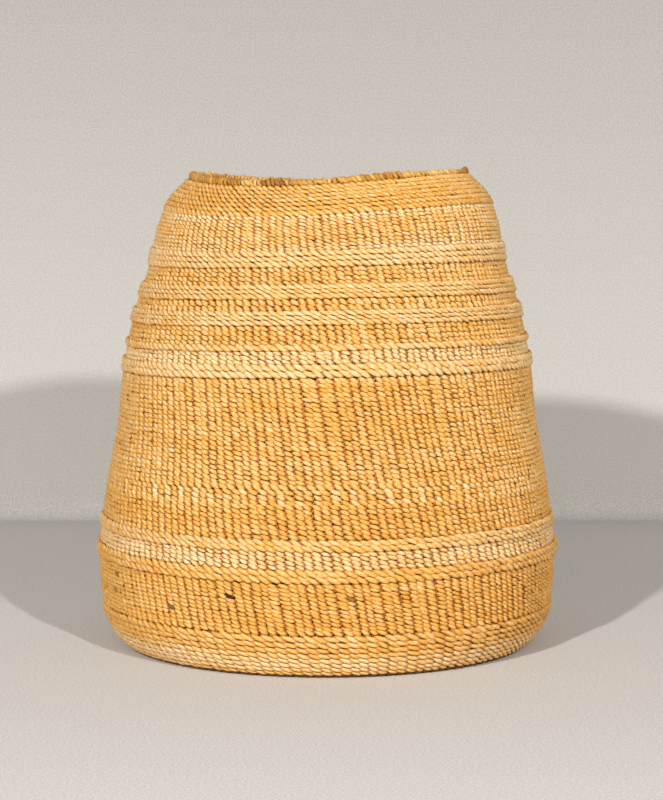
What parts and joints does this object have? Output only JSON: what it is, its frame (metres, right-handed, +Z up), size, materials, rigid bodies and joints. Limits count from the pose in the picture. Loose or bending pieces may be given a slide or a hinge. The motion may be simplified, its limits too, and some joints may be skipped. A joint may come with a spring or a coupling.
{
  "type": "twined storage basket",
  "caption": "Open twined storage basket with a wide flat base, raised ridges round a wall that narrows upwards, and a wrapped mouth.",
  "frame": {"origin": "on the ground at the middle of the base", "axes": "+Z up through the mouth, front of the basket towards -Y, right side towards +X"},
  "size_m": [0.2132, 0.2132, 0.2189],
  "materials": {
    "gold_weft": "matt split straw, golden",
    "pale_weft": "matt split straw, pale",
    "rim_wrapping": "matt split straw, darkened by handling",
    "warp_rod": "matt peeled rod"
  },
  "bodies": {
    "root": {"heel_weave": "gold_weft", "lower_weave": "gold_weft", "ridge_1": "pale_weft", "pale_weave": "pale_weft", "ridge_2": "pale_weft", "belly_weave_lower": "gold_weft", "belly_weave_speckled": "gold_weft", "belly_weave_upper": "gold_weft", "ridge_3": "pale_weft", "waist_weave": "pale_weft", "ridge_4": "pale_weft", "upper_weave_1": "gold_weft", "ridge_5": "pale_weft", "upper_weave_2": "gold_weft", "ridge_6": "pale_weft", "upper_weave_3": "gold_weft", "ridge_7": "pale_weft", "neck_weave": "pale_weft", "shoulder_weave": "gold_weft", "rim_binding": "rim_wrapping", "base_weave": "gold_weft", "start_knot": "gold_weft", "warp_01": "warp_rod", "warp_02": "warp_rod", "warp_03": "warp_rod", "warp_04": "warp_rod", "warp_05": "warp_rod", "warp_06": "warp_rod", "warp_07": "warp_rod", "warp_08": "warp_rod", "warp_09": "warp_rod", "warp_10": "warp_rod", "warp_11": "warp_rod", "warp_12": "warp_rod", "warp_13": "warp_rod", "warp_14": "warp_rod", "warp_15": "warp_rod", "warp_16": "warp_rod", "warp_17": "warp_rod", "warp_18": "warp_rod"}
  },
  "joints": []
}
